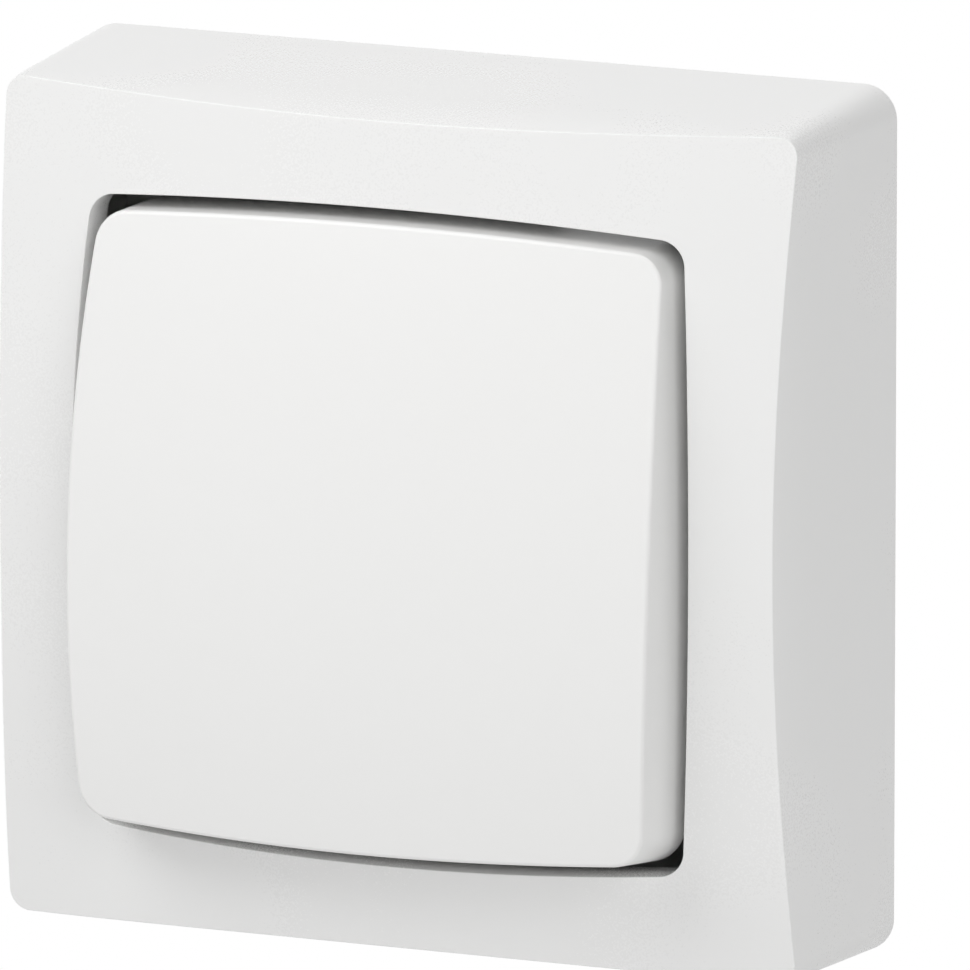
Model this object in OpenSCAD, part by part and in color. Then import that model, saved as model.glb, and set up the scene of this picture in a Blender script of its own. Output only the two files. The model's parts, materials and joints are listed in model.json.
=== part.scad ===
// Surface mounted light switch: a square domed cover snapped over a shallow wall base, with one
// large rocker key that tips about a level axis and a two way contact mechanism behind it.
// Each piece is drawn with x to the right, y up and z out from the wall. on_wall() then stands
// it against the wall plane, so that its front faces -Y and its top is +Z. The origin is the
// centre of the back, midway between the two fixing slots.

/* [Cover] */
// Width and height of the cover at the wall
width = 80; // [76:0.5:90]
// Wall thickness of the cover
cover_wall = 2; // [1.6:0.1:2.4]
// Angle at which the cover's sides lean in from the wall
side_draft = 3; // [1:0.25:4]
// Distance from the wall at which the sides begin to roll over to the front
roll_start = 17.4; // [14:0.2:18]
// Radius on which they roll over
roll_r = 28; // [20:1:60]
// Radius of the cover's corners at the wall
corner_r = 3.2; // [2.9:0.1:6]
// Distance from the wall to the top of the cover's domed front
dome_top = 27.4; // [26.5:0.1:29]
// Radius of the cover's domed front from left to right
dome_rx = 214; // [180:1:300]
// Radius of the cover's domed front from top to bottom
dome_ry = 208; // [170:1:290]
// Thickness of the lip that turns in round the opening
lip_wall = 1.4; // [1:0.1:2]
// Distance from the wall to the inner edge of that lip
lip_end = 19.5; // [18.5:0.1:20.5]

/* [Rocker key] */
// Width and height of the key's face across the middle
key_w = 57.4; // [54:0.2:60]
// How far each edge of the face bows outwards
key_bow = 1.15; // [0.6:0.05:2]
// Radius of the face's corners
key_corner_r = 3.2; // [2.4:0.1:5]
// Gap between the face and the cover's opening
key_gap = 1.55; // [1.2:0.05:2.2]
// Radius of the opening's corners
opening_corner_r = 2.6; // [2:0.2:4]
// Wall thickness of the key
key_wall = 1.8; // [1.4:0.1:2.2]
// How far the face's corners stand in front of the pivot
key_rise = 5.15; // [4.5:0.05:6]
// Length of the skirt behind the face's corners
key_skirt = 8.5; // [7:0.1:9]
// How much wider the skirt is at its end than at the face, on each side
key_draft = 0.5; // [0.1:0.05:0.6]
// Radius of the face from left to right
face_rx = 180; // [140:1:260]
// Radius of the face from top to bottom
face_ry = 120; // [100:1:170]
// Angle of the key from level at either end of its travel
key_tilt = 4.7; // [3:0.1:5.5]

/* [Wall base] */
// Thickness of the base plate
base_t = 2; // [1.6:0.1:2.6]
// Height of the base's rim above the wall
rim_h = 9; // [8.5:0.1:10.5]
// Thickness of the rim
rim_wall = 2; // [1.6:0.1:2.2]
// Clearance between the top of the rim and the leaning sides of the cover
rim_gap = 0.3; // [0.2:0.05:0.5]
// Distance between the two fixing slots
fixing_spacing = 60; // [56:1:62]
// Length of a fixing slot from end to end
slot_len = 7; // [5.5:0.5:7.5]
// Width of a fixing slot
slot_w = 4.6; // [4:0.1:5]
// Width of the cable entry in the base plate
entry_w = 16; // [12:0.5:18]
// Height of the cable entry in the base plate
entry_h = 9; // [7:0.5:10]
// Width of each thinned break-out for a surface cable
breakout_w = 16; // [10:1:20]
// Wall left standing at a break-out
breakout_wall = 0.8; // [0.5:0.1:1]

/* [Latches] */
// Width of each latch inside the cover
latch_w = 8; // [5:0.5:10]
// How far a latch reaches into its window in the rim
latch_reach = 1.1; // [0.7:0.1:1.4]
// Distance of each latch from the middle of its side
latch_offset = 19; // [14:0.5:24]

/* [Mechanism] */
// Width of the mechanism housing
housing_w = 46; // [44:0.5:50]
// Height of the mechanism housing
housing_h = 42; // [40:0.5:44]
// Depth of the mechanism housing
housing_d = 12; // [11:0.2:13]
// Thickness of the housing's floor
floor_t = 2; // [1.4:0.1:2.4]
// Thickness of the walls between the housing's chambers
chamber_wall = 1.5; // [1:0.1:2]
// Thickness of the lid over the housing
lid_t = 2; // [1.6:0.1:2.6]
// Distance from the wall to the key's pivot
pivot_out = 22; // [21:0.1:23]
// Radius of the pivot pins
pin_r = 1.6; // [1.2:0.05:2]
// Running clearance round a pin, on the radius
pin_gap = 0.06; // [0.03:0.01:0.1]
// Thickness of each bearing ear
ear_t = 2.5; // [2:0.1:3.5]

/* [Contacts] */
// Distance of each pair of contacts from the middle
contact_y = 9.5; // [9:0.1:10.5]
// Radius of a contact's head
contact_r = 2; // [1.5:0.1:2.3]
// Height of a contact's head
contact_h = 0.8; // [0.6:0.1:1.2]
// Thickness of the brass strips
strip_t = 0.8; // [0.6:0.1:1]
// Thickness of the contact bridge
bridge_t = 1.2; // [1:0.1:1.6]
// Width of the contact bridge
bridge_w = 7; // [5:0.2:8]
// Angle of the contact bridge from level at either end of its travel
bridge_tilt = 7; // [5:0.1:8]
// Gap left between closed contacts
closed_gap = 0.2; // [0.1:0.05:0.4]

/* [Plunger] */
// Bore radius of the plunger's tube
tube_r = 2.4; // [2:0.1:2.6]
// Wall thickness of that tube
tube_wall = 1; // [0.7:0.1:1.2]
// Gap between the plunger's tip and the level bridge
tip_gap = 0.25; // [0.15:0.05:0.4]
// Thickness of the spring's wire
wire_d = 0.5; // [0.3:0.05:0.6]
// Turns of the spring
spring_turns = 8; // [5:1:10]

/* [Terminals] */
// Distance of each terminal from the middle, left or right
terminal_x = 14; // [13.5:0.1:15]
// Width of a terminal block, left to right and top to bottom
block_w = 7; // [6:0.1:7.4]
// Height of a terminal block
block_h = 6.8; // [6:0.1:7]
// Radius of the bore for the conductor
wire_r = 1.7; // [1.2:0.05:1.9]
// Thread radius of a terminal screw
screw_r = 1.75; // [1.4:0.05:2]

/* [Hidden] */

$fn = 64;
large_fn = 360;
over = 1;            // how far a cutting shape runs past the face it cuts
thread_gap = 0.05;   // clearance of a screw or rivet in its hole
fit_gap = 0.2;       // clearance of a snapped piece on its seat

white_plastic = "#f1f1ee";
grey_plastic = "#c9ccca";
brass = "#c9a85a";
copper = "#b87345";
silver_contact = "#d9dadb";
zinc_steel = "#aeb3b5";

// Cover and base
half_w = width / 2;
base_half = half_w - cover_wall - rim_h * tan(side_draft) - rim_gap;
corner_fill = 0.4;   // extra thickness of the cover's walls at its corners
hollow_corner_r = corner_r - cover_wall + corner_fill;
corner_gap = 0.2;    // extra clearance of the base in those corners
base_corner_r = hollow_corner_r + corner_gap;
latch_depth = 1.8;   // from the top of the rim down to a latch
latch_top = rim_h - latch_depth;
latch_h = 2.4;
window_gap = 0.3;    // clearance above and below a latch in its window
entry_top = 33.5;    // height of the cable entry's upper edge
entry_y = entry_top - entry_h / 2;

// Outline of the key: four large arcs with a small round at each corner
key_half = key_w / 2;
edge_half = key_half - key_bow;
edge_arc_r = (pow(edge_half, 2) + pow(key_bow, 2)) / (2 * key_bow);
edge_arc_x = key_half - edge_arc_r;
key_corner_x = corner_centre(edge_arc_r, key_corner_r);

// Depths of the key, measured from the wall with the key level
key_edge = pivot_out + key_rise;
sag_x = face_rx - sqrt(pow(face_rx, 2) - pow(edge_half, 2));
sag_y = face_ry - sqrt(pow(face_ry, 2) - pow(edge_half, 2));
face_top = key_edge + sag_x + sag_y;

// Stack of the mechanism
floor_top = base_t + floor_t;
housing_top = base_t + housing_d;
lid_top = housing_top + lid_t;
strip_top = floor_top + strip_t;
moving_contact_h = 1;
contact_cap_r = 4;
contact_drop = contact_y * sin(bridge_tilt)
    + contact_cap_r - (contact_cap_r - moving_contact_h) * cos(bridge_tilt);
bridge_out = strip_top + contact_h + closed_gap + contact_drop;
contact_margin = 0.4;
bridge_half_h = contact_y + contact_r + contact_margin;
knife_r = 0.5;
strip_w = 5;
rivet_r = 1;

// Chambers of the housing
housing_corner_r = 2.5;
conductor_gap = 0.4;
strip_gap = 0.4;
channel_side_gap = 1;
channel_end_gap = 1.4;
channel_half_w = bridge_w / 2 + channel_side_gap;
channel_half_h = bridge_half_h + channel_end_gap;
block_gap = 0.6;
chamber_half = block_w / 2 + block_gap;
swing_gap_x = 2;     // room for the plunger's tube in the lid's window
swing_gap_y = 3;

// Posts and tabs that hold the housing to the base
post_r = 3.5;
post_h = 6;
post_top = base_t + post_h;
post_gap = 0.4;
tab_t = 2.4;
tab_y = housing_h / 2 + post_r + post_gap;
fixing_screw_r = 1.5;
fixing_head_r = 3;
fixing_head_h = 2.2;
fixing_dome_r = 4;
tab_neck = 2;

// Carrier that the key clips on to
ear_wall = 1.7;
ear_r = pin_r + ear_wall;
ear_fillet_r = 2;
throat_ratio = 0.86; // width of the ear's throat against the pin
ear_offset = 0.4;    // from a terminal block's side to the ear's inside
ear_in = terminal_x + block_w / 2 + ear_offset;
cheek_gap = 0.5;
carrier_half_w = ear_in - cheek_gap;
carrier_half_h = 10;
carrier_t = 2;
carrier_corner_r = 1.5;
carrier_slot_w = 5;
carrier_slot_h = 12;
carrier_slot_r = 1;
carrier_slot_x = carrier_half_w * 0.45;
carrier_gap = 0.6;   // between the ears and the carrier's plate
carrier_out = pivot_out + ear_r + carrier_gap;
cheek_t = 1.8;
tube_reach = 9;      // from the pivot back to the tube's end
tube_end = pivot_out - tube_reach;
hook_half_w = 5;
hook_t = 1.6;
hook_catch = 0.8;
hook_land = 0.5;
hook_tip = 2;
hook_lead = 0.4;     // where a hook's slope ends, out from the carrier's edge
rib_t = 1.2;
rib_y = 6;
rib_x = 11.6;

// Plunger and its spring, measured from the wall with the key level
tip_out = bridge_out + bridge_t + tip_gap;
tip_r = 1.5;
barrel_r = tube_r - pin_gap;
barrel_proud = 0.8;  // how far the barrel shows below the tube
barrel_out = tube_end - barrel_proud;
barrel_inside = 4;
barrel_top = tube_end + barrel_inside;
stem_gap = 0.5;
stem_r = tube_r - wire_d - stem_gap;
stem_h = 2.5;
stem_top = barrel_top + stem_h;
spring_gap = 0.15;
spring_r = tube_r - wire_d / 2 - spring_gap;
spring_seat = 0.05;

// Terminals
block_corner_r = 0.6;
block_end_wall = 1.2;
block_top = strip_top + block_h;
block_floor = 1;
wire_out = strip_top + block_floor + wire_r;
head_rim = 0.9;
head_r = screw_r + head_rim;
head_h = 1.8;
head_lift = 0.3;
head_out = block_top + head_lift;
access_gap = 0.4;
access_r = head_r + access_gap;
slot_cut = 0.9;
LEFT = -1;
RIGHT = 1;

module on_wall() {
    rotate([90, 0, 0]) children();
}

// Turns a piece of the key to its place at rest, with its top pressed in
module at_key_rest() {
    on_wall()
        translate([0, 0, pivot_out]) rotate([-key_tilt, 0, 0]) translate([0, 0, -pivot_out])
            children();
}

// Turns a piece of the bridge to its place at rest, closed on the lower contact
module at_bridge_rest() {
    on_wall()
        translate([0, 0, bridge_out]) rotate([bridge_tilt, 0, 0]) translate([0, 0, -bridge_out])
            children();
}

module rounded_rect(w, h, r) {
    square([w - 2 * r, h], center = true);
    square([w, h - 2 * r], center = true);
    for (x = [-1, 1], y = [-1, 1])
        translate([x * (w / 2 - r), y * (h / 2 - r)]) circle(r);
}

module slot_outline(length, w) {
    square([length - w, w], center = true);
    for (x = [-1, 1])
        translate([x * (length - w) / 2, 0]) circle(w / 2);
}

// Centre, in x and y, of a corner round of radius r that touches two edge arcs of radius big
function corner_centre(big, r) =
    (edge_arc_x + sqrt(2 * pow(big - r, 2) - pow(edge_arc_x, 2))) / 2;

// Direction from that centre to the point where the round meets the right-hand edge
function touch_ray(big, r) =
    let (c = corner_centre(big, r))
        [c - edge_arc_x, c] / (big - r);

// Outline of four bowed edges, moved outwards from the key's by grow, with corners of radius r
module bowed_outline(grow, r) {
    big = edge_arc_r + grow;
    centre = corner_centre(big, r);
    ray = touch_ray(big, r);
    chord = (2 * centre + r * (ray.x + ray.y)) / sqrt(2);
    intersection() {
        intersection_for (side = [0:3])
            rotate(90 * side) translate([edge_arc_x, 0]) rotate(180)
                circle(big, $fn = large_fn);
        rotate(45) square(2 * chord, center = true);
    }
    for (corner = [0:3])
        rotate(90 * corner) translate([centre, centre]) circle(r);
}

// The key's outline as a block with drafted sides, from low to high
module drafted_block(low, high, grow_low, grow_high) {
    tall = high - low;
    ray = 3 * key_corner_r * touch_ray(edge_arc_r, key_corner_r);
    corner = [key_corner_x, key_corner_x];
    translate([0, 0, low]) {
        difference() {
            intersection_for (side = [0:3])
                rotate(90 * side) translate([edge_arc_x, 0, 0]) rotate(180)
                    cylinder(
                        h = tall, r1 = edge_arc_r + grow_low, r2 = edge_arc_r + grow_high,
                        $fn = large_fn
                    );
            for (side = [0:3])
                rotate(90 * side) translate([0, 0, -over]) linear_extrude(tall + 2 * over)
                    polygon([corner, corner + ray, corner * 2, corner + [ray.y, ray.x]]);
        }
        for (side = [0:3])
            rotate(90 * side) translate([key_corner_x, key_corner_x, 0])
                cylinder(h = tall, r1 = key_corner_r + grow_low, r2 = key_corner_r + grow_high);
    }
}

// Everything in front of a double-curved face that reaches out to top in the middle
module front_cut(top, across, along) {
    difference() {
        translate([-width, -width, 0]) cube([2 * width, 2 * width, 2 * top]);
        translate([0, 0, top - across]) rotate([90, 0, 0])
            rotate_extrude($fn = large_fn) intersection() {
                translate([across - along, 0]) circle(along, $fn = large_fn);
                translate([0, -width]) square([across + over, 2 * width]);
            }
    }
}

module face_cut(inset) {
    front_cut(face_top - inset, face_rx - inset, face_ry - inset);
}

module dome_cut(inset) {
    front_cut(dome_top - inset, dome_rx - inset, dome_ry - inset);
}

// The cover in section. Its sides lean in by the draft and then roll over towards the front.
// The hollow's section is set in by a wall and starts lower.
module side_section(inset, start) {
    r = roll_r - inset;
    foot = half_w - inset / cos(side_draft);
    // Centre of the roll, whose arc continues the drafted line
    centre = [
        half_w - roll_start * tan(side_draft) - roll_r * cos(side_draft),
        roll_start - roll_r * sin(side_draft)
    ];
    roll = centre + r * [cos(side_draft), sin(side_draft)];
    difference() {
        polygon([
            [-foot + start * tan(side_draft), start], [foot - start * tan(side_draft), start],
            roll, [roll.x, dome_top], [-roll.x, dome_top], [-roll.x, roll.y]
        ]);
        for (side = [0, 1])
            mirror([side, 0]) difference() {
                translate([centre.x, roll.y]) square(r + over);
                translate(centre) circle(r);
            }
    }
}

// The cover's form before its front is domed, or its hollow when set in by a wall
module cover_blank(inset, round_r, start) {
    edge = half_w - inset - round_r;
    for (turn = [0, 90])
        rotate(turn) rotate([90, 0, 0]) linear_extrude(2 * edge, center = true)
            side_section(inset, start);
    for (corner = [0:3])
        rotate(90 * corner) translate([edge, edge, 0]) rotate_extrude(angle = 90)
            intersection() {
                translate([-edge, 0]) side_section(inset, start);
                translate([0, start]) square([2 * round_r, dome_top - start]);
            }
}

// A latch on the inside of the right-hand wall, sloped towards the wall to ride over the rim
module latch() {
    root = half_w - cover_wall / 2;
    wall = half_w - cover_wall - latch_top * tan(side_draft);
    tip = base_half - latch_reach;
    rotate([90, 0, 0]) linear_extrude(latch_w, center = true)
        polygon([
            [root, latch_top - latch_h], [wall, latch_top - latch_h],
            [tip, latch_top - latch_h / 2], [tip, latch_top], [root, latch_top]
        ]);
}

module cover_frame() {
    pocket = cover_wall - breakout_wall;
    color(white_plastic) on_wall() difference() {
        union() {
            difference() {
                cover_blank(0, corner_r, 0);
                difference() {
                    cover_blank(cover_wall, hollow_corner_r, -over);
                    dome_cut(cover_wall);
                }
            }
            // Lip round the opening, up to the middle of the front wall
            difference() {
                translate([0, 0, lip_end]) linear_extrude(dome_top - lip_end)
                    bowed_outline(key_gap + lip_wall, opening_corner_r + lip_wall);
                dome_cut(cover_wall / 2);
            }
            for (x = [LEFT, RIGHT], y = [-1, 1])
                translate([0, y * latch_offset, 0]) rotate(x == LEFT ? 180 : 0) latch();
        }
        dome_cut(0);
        translate([0, 0, lip_end - over]) linear_extrude(dome_top)
            bowed_outline(key_gap, opening_corner_r);
        for (y = [-1, 1])
            translate([0, y * (half_w - cover_wall + pocket / 2 - over / 2), 0])
                cube([breakout_w, pocket + over, 2 * rim_h], center = true);
    }
}

module base() {
    color(white_plastic) on_wall() difference() {
        union() {
            linear_extrude(base_t) rounded_rect(2 * base_half, 2 * base_half, base_corner_r);
            linear_extrude(rim_h) difference() {
                rounded_rect(2 * base_half, 2 * base_half, base_corner_r);
                square(2 * (base_half - rim_wall), center = true);
            }
            for (y = [-1, 1])
                translate([0, y * tab_y, 0]) cylinder(h = post_top, r = post_r);
        }
        // Fixing slots, one on each side of the housing
        for (x = [LEFT, RIGHT])
            translate([x * fixing_spacing / 2, 0, -over]) linear_extrude(base_t + 2 * over)
                slot_outline(slot_len, slot_w);
        // Cable entry from behind, above the housing and to its right
        translate([(housing_w - entry_w) / 2, entry_y, -over])
            linear_extrude(base_t + 2 * over) slot_outline(entry_w, entry_h);
        // Screw holes in the posts
        for (y = [-1, 1])
            translate([0, y * tab_y, base_t / 2])
                cylinder(h = post_top, r = fixing_screw_r + thread_gap);
        // Windows for the cover's latches
        for (x = [LEFT, RIGHT], y = [-1, 1])
            translate([x * base_half, y * latch_offset, latch_top - latch_h / 2])
                cube(
                    [3 * rim_wall, latch_w + 2 * window_gap, latch_h + 2 * window_gap],
                    center = true
                );
        // Break-outs for a surface cable, above and below
        for (y = [-1, 1])
            translate([0, y * (base_half - breakout_wall - rim_wall), base_t + rim_h / 2])
                cube([breakout_w, 2 * rim_wall, rim_h], center = true);
    }
}

// Chamber for a terminal block, with the gap through which its strip reaches the channel
module terminal_chamber(side, y) {
    translate([side * terminal_x, y]) square(2 * chamber_half, center = true);
    translate([side * terminal_x / 2, y]) square([terminal_x, strip_w + 2 * strip_gap], center = true);
}

// Bore through the housing's side wall to a terminal chamber
module conductor_hole() {
    reach = housing_w / 2 - terminal_x - block_w / 2 + over;
    translate([0, 0, wire_out]) rotate([0, 90, 0])
        cylinder(h = 2 * reach, r = wire_r + conductor_gap, center = true);
}

module mechanism_housing() {
    inner_w = housing_w - 2 * chamber_wall;
    inner_h = housing_h - 2 * chamber_wall;
    spare_x = channel_half_w + chamber_wall;
    spare_w = inner_w / 2 - spare_x;
    upper_gap = contact_y - chamber_half - chamber_wall;
    color(grey_plastic) on_wall() difference() {
        union() {
            translate([0, 0, base_t]) linear_extrude(housing_d)
                rounded_rect(housing_w, housing_h, housing_corner_r);
            for (y = [-1, 1])
                translate([0, y * tab_y, post_top]) linear_extrude(tab_t) {
                    circle(post_r);
                    translate([0, -y * post_r / 2])
                        square([2 * post_r, post_r + tab_neck], center = true);
                }
        }
        translate([0, 0, floor_top]) linear_extrude(housing_d) {
            square([2 * channel_half_w, 2 * channel_half_h], center = true);
            for (y = [-1, 1])
                terminal_chamber(LEFT, y * contact_y);
            terminal_chamber(RIGHT, 0);
            // Spare chambers: one between the left terminals, two on the right
            translate([-inner_w / 2, -upper_gap]) square([spare_w, 2 * upper_gap]);
            for (y = [-1, 1])
                translate([
                    spare_x + spare_w / 2,
                    y * (chamber_half + chamber_wall + inner_h / 2) / 2
                ])
                    square([spare_w, inner_h / 2 - chamber_half - chamber_wall], center = true);
        }
        // Holes for the conductors
        for (y = [-1, 1])
            translate([LEFT * housing_w / 2, y * contact_y, 0]) conductor_hole();
        translate([RIGHT * housing_w / 2, 0, 0]) conductor_hole();
        // Screw holes in the tabs
        for (y = [-1, 1])
            translate([0, y * tab_y, 0])
                cylinder(h = housing_top, r = fixing_screw_r + window_gap);
    }
}

// Bearing ear on the right, open to the front so that a pin snaps in
module bearing_ear() {
    throat = 2 * pin_r * throat_ratio;
    translate([ear_in, 0, 0]) rotate([90, 0, 90]) linear_extrude(ear_t) difference() {
        union() {
            translate([0, pivot_out]) circle(ear_r);
            translate([-ear_r, lid_top]) square([2 * ear_r, pivot_out - lid_top]);
            for (y = [-1, 1])
                mirror([y < 0 ? 1 : 0, 0]) difference() {
                    translate([ear_r, lid_top]) square(ear_fillet_r);
                    translate([ear_r + ear_fillet_r, lid_top + ear_fillet_r])
                        circle(ear_fillet_r);
                }
        }
        translate([0, pivot_out]) circle(pin_r + pin_gap);
        translate([-throat / 2, pivot_out]) square([throat, ear_r + over]);
    }
}

module mechanism_lid() {
    // Window that the plunger's tube swings in
    window_w = 2 * (tube_r + tube_wall + swing_gap_x);
    window_h = 2 * (tube_r + tube_wall + swing_gap_y);
    color(white_plastic) on_wall() {
        translate([0, 0, housing_top]) linear_extrude(lid_t) difference() {
            rounded_rect(housing_w, housing_h, housing_corner_r);
            square([window_w, window_h], center = true);
            for (y = [-1, 1])
                translate([-terminal_x, y * contact_y]) circle(access_r);
            translate([terminal_x, 0]) circle(access_r);
        }
        for (turn = [0, 180])
            rotate(turn) bearing_ear();
    }
}

module rocker_key() {
    skirt_end = key_edge - key_skirt;
    tall = face_top - skirt_end;
    growth = key_draft / key_skirt;
    rib_half = key_corner_x - over;
    carrier_front = carrier_out + carrier_t;
    color(white_plastic) at_key_rest() {
        // Shell with drafted sides and a domed face
        difference() {
            drafted_block(skirt_end, face_top, key_draft, key_draft - growth * tall);
            face_cut(0);
            difference() {
                drafted_block(
                    skirt_end - over, face_top,
                    key_draft + growth * over - key_wall, key_draft - growth * tall - key_wall
                );
                face_cut(key_wall);
            }
        }
        difference() {
            union() {
                // Ribs across the back of the face, cut to rest on the front of the carrier
                translate([0, 0, carrier_front]) linear_extrude(face_top - carrier_front) {
                    for (y = [-1, 1])
                        translate([0, y * rib_y]) square([2 * rib_half, rib_t], center = true);
                    for (x = [-1, 1])
                        translate([x * rib_x, 0]) square([rib_t, 2 * rib_half], center = true);
                }
                // Two hooks that clip round the upper and lower edges of the carrier
                for (turn = [0, 180])
                    rotate(turn) rotate([90, 0, 90])
                        linear_extrude(2 * hook_half_w, center = true) hook_section();
            }
            face_cut(key_wall / 2);
        }
    }
}

// Hook in section, with its catch under the carrier's plate
module hook_section() {
    catch_out = carrier_out - fit_gap;
    translate([carrier_half_h + fit_gap, 0]) polygon([
        [0, face_top], [0, catch_out], [-hook_catch, catch_out],
        [-hook_catch, catch_out - hook_land], [hook_lead, catch_out - hook_tip],
        [hook_t, catch_out - hook_tip], [hook_t, face_top]
    ]);
}

module rocker_carrier() {
    color(white_plastic) at_key_rest() difference() {
        union() {
            // Plate that the key clips on to
            translate([0, 0, carrier_out]) linear_extrude(carrier_t) difference() {
                rounded_rect(2 * carrier_half_w, 2 * carrier_half_h, carrier_corner_r);
                for (x = [-1, 1])
                    translate([x * carrier_slot_x, 0])
                        rounded_rect(carrier_slot_w, carrier_slot_h, carrier_slot_r);
            }
            // Cheek and pin at each end
            for (turn = [0, 180])
                rotate(turn) {
                    translate([carrier_half_w - cheek_t, 0, 0]) rotate([90, 0, 90])
                        linear_extrude(cheek_t) {
                            translate([0, pivot_out]) circle(ear_r);
                            translate([-ear_r, pivot_out])
                                square([2 * ear_r, carrier_out - pivot_out + over]);
                        }
                    translate([carrier_half_w - over, 0, pivot_out]) rotate([0, 90, 0])
                        cylinder(h = ear_in + ear_t - carrier_half_w + over, r = pin_r);
                }
            // Tube for the plunger, with four webs under the plate
            translate([0, 0, tube_end])
                cylinder(h = carrier_out - tube_end + over, r = tube_r + tube_wall);
            for (turn = [0, 90])
                rotate(turn) translate([0, 0, (pivot_out + carrier_out) / 2 + over / 2])
                    cube([
                        4 * (tube_r + tube_wall), rib_t, carrier_out - pivot_out + over
                    ], center = true);
        }
        translate([0, 0, tube_end - over]) cylinder(h = carrier_out - tube_end + over, r = tube_r);
    }
}

module plunger() {
    color(grey_plastic) at_key_rest() rotate_extrude() {
        // Tip, barrel and the stem that guides the spring
        intersection() {
            translate([0, tip_out + tip_r]) circle(tip_r);
            translate([0, tip_out]) square([tip_r, tip_r]);
        }
        translate([0, tip_out + tip_r]) square([tip_r, barrel_top - tip_out - tip_r]);
        translate([0, barrel_out]) square([barrel_r, barrel_top - barrel_out]);
        translate([0, barrel_top - over]) square([stem_r, stem_top - barrel_top + over]);
    }
}

// Centre line of the spring at turn fraction u, with a closed turn at each end
function spring_height(u, low, high) =
    let (pitch = (high - low - 2 * wire_d) / (spring_turns - 2))
        u < 1 ? low + wire_d * u
        : u > spring_turns - 1 ? high - wire_d * (spring_turns - u)
        : low + wire_d + pitch * (u - 1);

module plunger_spring() {
    steps = 18;
    sides = 8;
    last = spring_turns * steps;
    low = barrel_top + wire_d / 2 + spring_seat;
    high = carrier_out - wire_d / 2 - spring_seat;
    points = [
        for (i = [0:last], k = [0:sides - 1])
            let (
                turn = 360 * i / steps, side = 360 * k / sides,
                r = spring_r + wire_d / 2 * cos(side)
            )
                [
                    r * cos(turn), r * sin(turn),
                    spring_height(i / steps, low, high) + wire_d / 2 * sin(side)
                ]
    ];
    faces = concat(
        [[for (k = [0:sides - 1]) k]],
        [
            for (i = [0:last - 1], k = [0:sides - 1])
                let (next = (k + 1) % sides)
                    [
                        i * sides + next, i * sides + k,
                        (i + 1) * sides + k, (i + 1) * sides + next
                    ]
        ],
        [[for (k = [sides - 1:-1:0]) last * sides + k]]
    );
    color(zinc_steel) at_key_rest() polyhedron(points, faces);
}

module contact_bridge() {
    color(copper) at_bridge_rest() difference() {
        translate([0, 0, bridge_out]) linear_extrude(bridge_t) difference() {
            union() {
                rounded_rect(bridge_w, 2 * (contact_y - contact_r), 1);
                rounded_rect(2 * (contact_r + contact_margin), 2 * bridge_half_h, 1);
            }
            for (y = [-1, 1])
                translate([0, y * contact_y]) circle(rivet_r);
        }
        // Groove that rocks on the common strip
        translate([0, 0, bridge_out]) rotate([0, 90, 0])
            cylinder(h = bridge_w + 2 * over, r = knife_r + thread_gap, center = true);
    }
}

// Rivet with a domed head towards the wall
module bridge_contact(y) {
    color(silver_contact) at_bridge_rest() translate([0, y, bridge_out]) {
        intersection() {
            translate([0, 0, contact_cap_r - moving_contact_h]) sphere(contact_cap_r);
            translate([0, 0, -moving_contact_h]) cylinder(h = moving_contact_h, r = contact_r);
        }
        cylinder(h = bridge_t, r = rivet_r - thread_gap);
    }
}

module bridge_contact_upper() {
    bridge_contact(contact_y);
}

module bridge_contact_lower() {
    bridge_contact(-contact_y);
}

module common_strip() {
    color(brass) on_wall() {
        translate([-strip_w / 2, -strip_w / 2, floor_top])
            cube([terminal_x + block_w / 2 + strip_w / 2, strip_w, strip_t]);
        // Upstand with a rounded edge that the bridge rocks on
        translate([0, 0, (floor_top + bridge_out) / 2])
            cube([strip_w, strip_t, bridge_out - floor_top], center = true);
        translate([0, 0, bridge_out]) rotate([0, 90, 0])
            cylinder(h = strip_w, r = knife_r, center = true);
    }
}

module fixed_strip(y) {
    reach = terminal_x + block_w / 2;
    color(brass) on_wall() translate([0, y, floor_top]) linear_extrude(strip_t) difference() {
        translate([-reach, -strip_w / 2]) square([reach + contact_r + contact_margin, strip_w]);
        circle(rivet_r);
    }
}

module fixed_strip_upper() {
    fixed_strip(contact_y);
}

module fixed_strip_lower() {
    fixed_strip(-contact_y);
}

module fixed_contact(y) {
    color(silver_contact) on_wall() translate([0, y, 0]) {
        translate([0, 0, floor_top]) cylinder(h = strip_t + contact_h, r = rivet_r - thread_gap);
        translate([0, 0, strip_top]) cylinder(h = contact_h, r = contact_r);
    }
}

module fixed_contact_upper() {
    fixed_contact(contact_y);
}

module fixed_contact_lower() {
    fixed_contact(-contact_y);
}

// Brass block with a bore for the conductor, open on the side away from the middle
module terminal_block(side, y) {
    color(brass) on_wall() translate([side * terminal_x, y, 0]) difference() {
        translate([0, 0, strip_top]) linear_extrude(block_h)
            rounded_rect(block_w, block_w, block_corner_r);
        translate([side * block_w / 2, 0, wire_out]) rotate([0, 90, 0])
            cylinder(h = 2 * (block_w - block_end_wall), r = wire_r, center = true);
        translate([0, 0, wire_out]) cylinder(h = block_h, r = screw_r + thread_gap);
    }
}

module terminal_block_common() {
    terminal_block(RIGHT, 0);
}

module terminal_block_upper() {
    terminal_block(LEFT, contact_y);
}

module terminal_block_lower() {
    terminal_block(LEFT, -contact_y);
}

// Cheese head screw with a slot, its tip just inside the conductor's bore
module terminal_screw(side, y) {
    color(zinc_steel) on_wall() translate([side * terminal_x, y, 0]) difference() {
        union() {
            translate([0, 0, wire_out + wire_r * 0.6])
                cylinder(h = head_out - wire_out, r = screw_r);
            translate([0, 0, head_out]) cylinder(h = head_h, r = head_r);
        }
        translate([0, 0, head_out + head_h])
            cube([3 * head_r, slot_cut, head_h], center = true);
    }
}

module terminal_screw_common() {
    terminal_screw(RIGHT, 0);
}

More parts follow.
